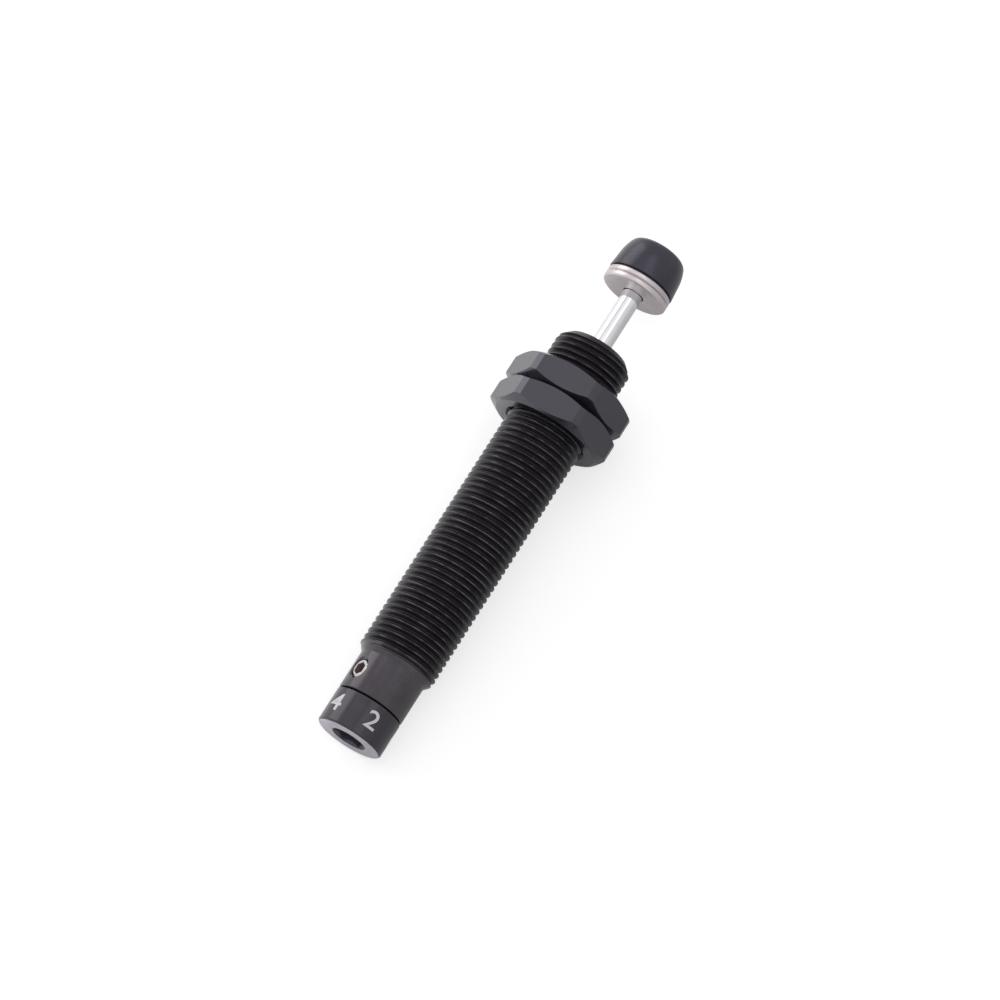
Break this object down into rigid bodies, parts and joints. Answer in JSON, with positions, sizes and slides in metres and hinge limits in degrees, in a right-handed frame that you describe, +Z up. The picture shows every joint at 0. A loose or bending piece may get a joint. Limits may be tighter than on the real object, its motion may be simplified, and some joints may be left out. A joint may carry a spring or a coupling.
{
  "type": "industrial shock absorber",
  "caption": "Adjustable hydraulic shock absorber: threaded cylinder with two lock nuts, sprung piston rod with a cushioned button, and a numbered adjusting dial.",
  "frame": {"origin": "on the cylinder's axis, in the front face of the front lock nut, where the machine's bracket seats", "axes": "+X along the cylinder's axis towards the rod end, +Z up, normal to one flat of each nut"},
  "size_m": [0.0855, 0.019, 0.017],
  "materials": {
    "black_body": "black oxide steel, satin",
    "black_nut": "black oxide steel, satin blue-grey",
    "black_dial": "black oxide steel, turned and satin",
    "nickel": "nickel plated steel, satin",
    "hard_chrome": "hard chromed and polished",
    "steel": "bright turned steel",
    "urethane": "charcoal polyurethane, satin",
    "seal_rubber": "black nitrile rubber",
    "foam": "closed-cell foam",
    "bronze": "bearing bronze"
  },
  "bodies": {
    "cylinder": {"body_tube": "black_body", "metering_sleeve": "bronze", "foam_sleeve": "foam", "rod_guide": "steel", "guide_ring": "seal_rubber", "rod_bush": "bronze", "rod_wiper": "seal_rubber", "rod_seal": "seal_rubber", "seal_holder": "steel", "snap_ring": "steel", "thrust_washer": "bronze", "return_spring": "steel"},
    "rod": {"piston_rod": "hard_chrome", "button_plate": "nickel", "bumper_cap": "urethane", "piston": "steel", "piston_retainer": "steel"},
    "check_ring": {"check_ring": "bronze"},
    "dial": {"adjusting_dial": "black_dial", "adjusting_spindle": "steel", "spindle_ring": "seal_rubber", "tube_plug": "steel", "pressure_tube": "steel"},
    "lock_screw": {"lock_screw": "nickel"},
    "front_nut": {"front_nut": "black_nut"},
    "rear_nut": {"rear_nut": "black_nut"}
  },
  "joints": [
    {"name": "rod_slide", "type": "slide", "parent": "cylinder", "child": "rod", "axis": [-1, 0, 0], "range_m": [0, 0.01], "stiffness_N_per_m": 400, "springref_m": -0.01, "deforming": ["return_spring"]},
    {"name": "check_ring_lift", "type": "slide", "parent": "rod", "child": "check_ring", "axis": [-1, 0, 0], "range_m": [0, 0.0004]},
    {"name": "dial_turn", "type": "hinge", "parent": "cylinder", "child": "dial", "pos_m": [-0.059, 0, 0], "axis": [1, 0, 0], "range_deg": [-144, 144]},
    {"name": "lock_screw_turn", "type": "hinge", "parent": "cylinder", "child": "lock_screw", "pos_m": [-0.0528, 0, 0], "axis": [0, 0.7071, 0.7071], "range_deg": [0, 180]},
    {"name": "front_nut_travel", "type": "slide", "parent": "cylinder", "child": "front_nut", "axis": [1, 0, 0], "range_m": [0, 0.0049]},
    {"name": "rear_nut_travel", "type": "slide", "parent": "cylinder", "child": "rear_nut", "axis": [-1, 0, 0], "range_m": [0, 0.04]}
  ]
}
